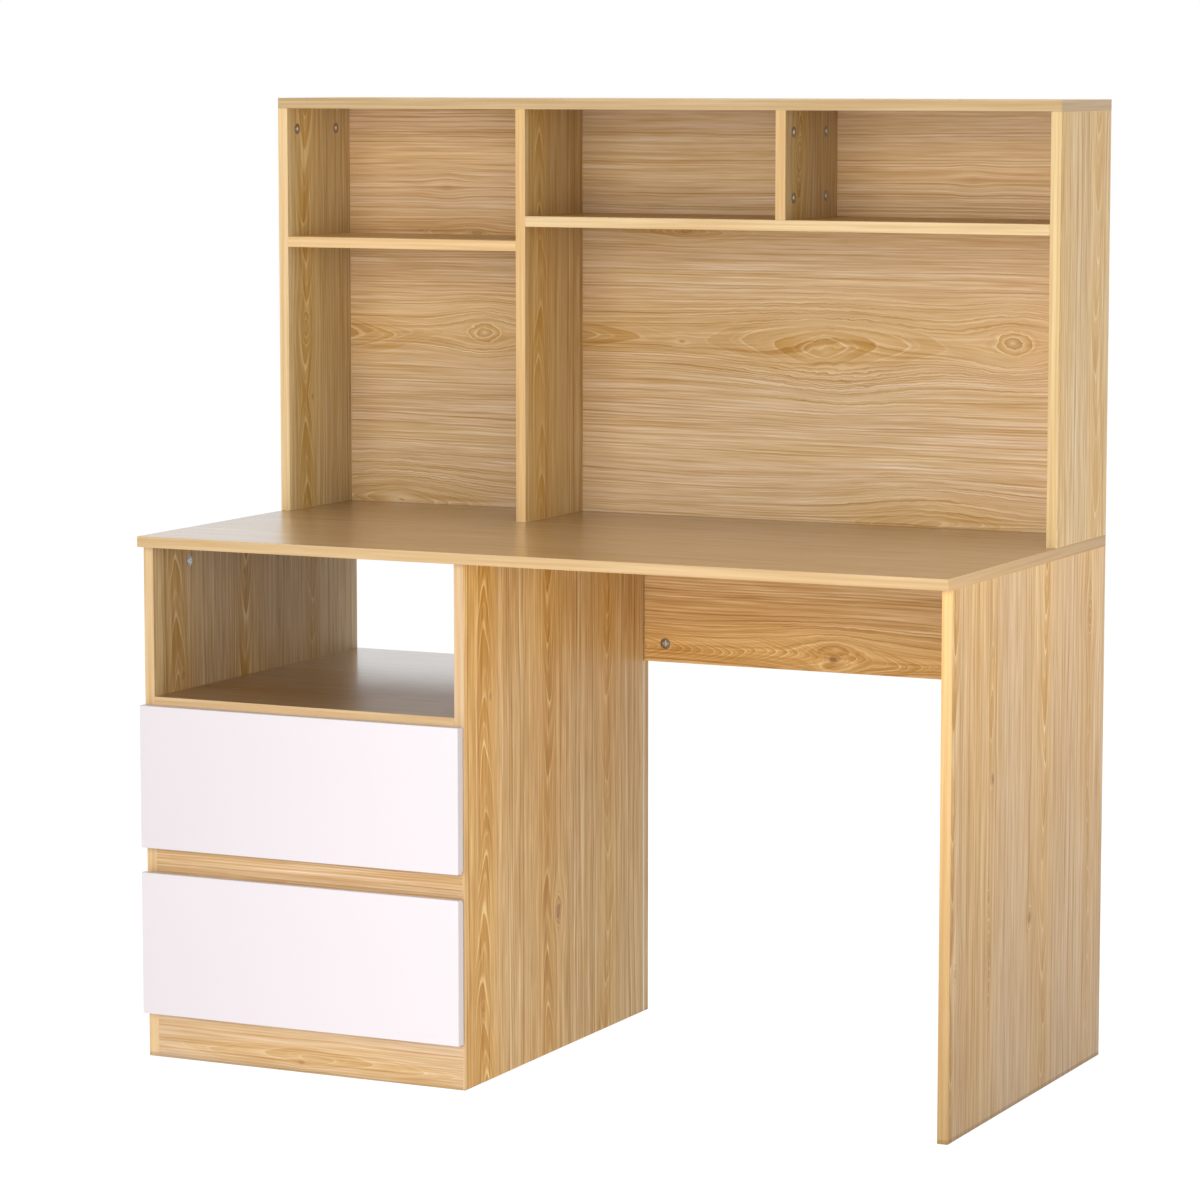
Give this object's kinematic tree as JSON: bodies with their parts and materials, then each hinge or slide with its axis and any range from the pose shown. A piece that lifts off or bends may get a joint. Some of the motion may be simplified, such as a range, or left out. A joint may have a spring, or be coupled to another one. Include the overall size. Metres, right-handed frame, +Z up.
{
  "type": "student desk with hutch",
  "caption": "Student desk in light oak boards with white sliding drawers and an open cubby on one side, a knee space with a modesty panel, and an open hutch of shelves on top.",
  "frame": {"origin": "on the floor, at the middle of the desk's width and depth", "axes": "+X to the right seen from the sitter, +Y from the sitter to the rear, +Z up"},
  "size_m": [1.2, 0.6, 1.335],
  "materials": {
    "upright_oak": "satin light oak melamine, grain upright",
    "level_oak": "satin light oak melamine, grain along the width",
    "fascia_oak": "satin light oak melamine, grain along the width",
    "white_front": "satin white melamine",
    "drawer_board": "matt white melamine",
    "hardboard": "white lacquered hardboard",
    "pale_strip": "pale plastic",
    "zinc": "zinc",
    "runner_steel": "zinc plated steel",
    "cage_steel": "plain steel",
    "ball_steel": "polished",
    "dowel_beech": "raw beech",
    "bumper_rubber": "clear grey rubber"
  },
  "bodies": {
    "carcass": {"cabinet_back": "hardboard", "cabinet_bottom": "level_oak", "cabinet_divider": "upright_oak", "cam_bolts": "zinc", "cam_locks": "zinc", "cubby_shelf": "level_oak", "desk_top": "level_oak", "divider_groove_strip": "pale_strip", "drawer_rail": "fascia_oak", "hutch_back_left": "fascia_oak", "hutch_back_right": "fascia_oak", "hutch_divider": "upright_oak", "hutch_left_shelf": "level_oak", "hutch_left_side": "upright_oak", "hutch_right_shelf": "level_oak", "hutch_right_side": "upright_oak", "hutch_small_divider": "upright_oak", "hutch_top": "level_oak", "left_side_panel": "upright_oak", "lower_left_runner_cabinet_rail": "runner_steel", "lower_right_runner_cabinet_rail": "runner_steel", "modesty_panel": "fascia_oak", "plinth": "fascia_oak", "right_side_panel": "upright_oak", "runner_screws": "zinc", "upper_left_runner_cabinet_rail": "runner_steel", "upper_right_runner_cabinet_rail": "runner_steel", "wooden_dowels": "dowel_beech"},
    "upper_drawer": {"upper_drawer_back": "drawer_board", "upper_drawer_bottom": "hardboard", "upper_drawer_bumpers": "bumper_rubber", "upper_drawer_fasteners": "zinc", "upper_drawer_front": "white_front", "upper_drawer_left_side": "drawer_board", "upper_drawer_right_side": "drawer_board", "upper_left_runner_drawer_rail": "runner_steel", "upper_right_runner_drawer_rail": "runner_steel"},
    "upper_middle_rails": {"upper_left_runner_middle_rail": "runner_steel", "upper_right_runner_middle_rail": "runner_steel"},
    "upper_outer_cages": {"upper_outer_ball_cages": "cage_steel", "upper_outer_runner_balls": "ball_steel"},
    "upper_inner_cages": {"upper_inner_ball_cages": "cage_steel", "upper_inner_runner_balls": "ball_steel"},
    "lower_drawer": {"lower_drawer_back": "drawer_board", "lower_drawer_bottom": "hardboard", "lower_drawer_bumpers": "bumper_rubber", "lower_drawer_fasteners": "zinc", "lower_drawer_front": "white_front", "lower_drawer_left_side": "drawer_board", "lower_drawer_right_side": "drawer_board", "lower_left_runner_drawer_rail": "runner_steel", "lower_right_runner_drawer_rail": "runner_steel"},
    "lower_middle_rails": {"lower_left_runner_middle_rail": "runner_steel", "lower_right_runner_middle_rail": "runner_steel"},
    "lower_outer_cages": {"lower_outer_ball_cages": "cage_steel", "lower_outer_runner_balls": "ball_steel"},
    "lower_inner_cages": {"lower_inner_ball_cages": "cage_steel", "lower_inner_runner_balls": "ball_steel"}
  },
  "joints": [
    {"name": "upper_drawer_slide", "type": "slide", "parent": "carcass", "child": "upper_drawer", "axis": [0, -1, 0], "range_m": [0, 0.4]},
    {"name": "upper_middle_rails_slide", "type": "slide", "parent": "carcass", "child": "upper_middle_rails", "axis": [0, -1, 0], "range_m": [0, 0.2]},
    {"name": "upper_outer_cages_slide", "type": "slide", "parent": "carcass", "child": "upper_outer_cages", "axis": [0, -1, 0], "range_m": [0, 0.1]},
    {"name": "upper_inner_cages_slide", "type": "slide", "parent": "carcass", "child": "upper_inner_cages", "axis": [0, -1, 0], "range_m": [0, 0.3]},
    {"name": "lower_drawer_slide", "type": "slide", "parent": "carcass", "child": "lower_drawer", "axis": [0, -1, 0], "range_m": [0, 0.4]},
    {"name": "lower_middle_rails_slide", "type": "slide", "parent": "carcass", "child": "lower_middle_rails", "axis": [0, -1, 0], "range_m": [0, 0.2]},
    {"name": "lower_outer_cages_slide", "type": "slide", "parent": "carcass", "child": "lower_outer_cages", "axis": [0, -1, 0], "range_m": [0, 0.1]},
    {"name": "lower_inner_cages_slide", "type": "slide", "parent": "carcass", "child": "lower_inner_cages", "axis": [0, -1, 0], "range_m": [0, 0.3]}
  ],
  "couplings": [
    {"joint": "upper_middle_rails_slide", "follows": "upper_drawer_slide", "ratio": 0.5},
    {"joint": "upper_outer_cages_slide", "follows": "upper_drawer_slide", "ratio": 0.25},
    {"joint": "upper_inner_cages_slide", "follows": "upper_drawer_slide", "ratio": 0.75},
    {"joint": "lower_middle_rails_slide", "follows": "lower_drawer_slide", "ratio": 0.5},
    {"joint": "lower_outer_cages_slide", "follows": "lower_drawer_slide", "ratio": 0.25},
    {"joint": "lower_inner_cages_slide", "follows": "lower_drawer_slide", "ratio": 0.75}
  ]
}
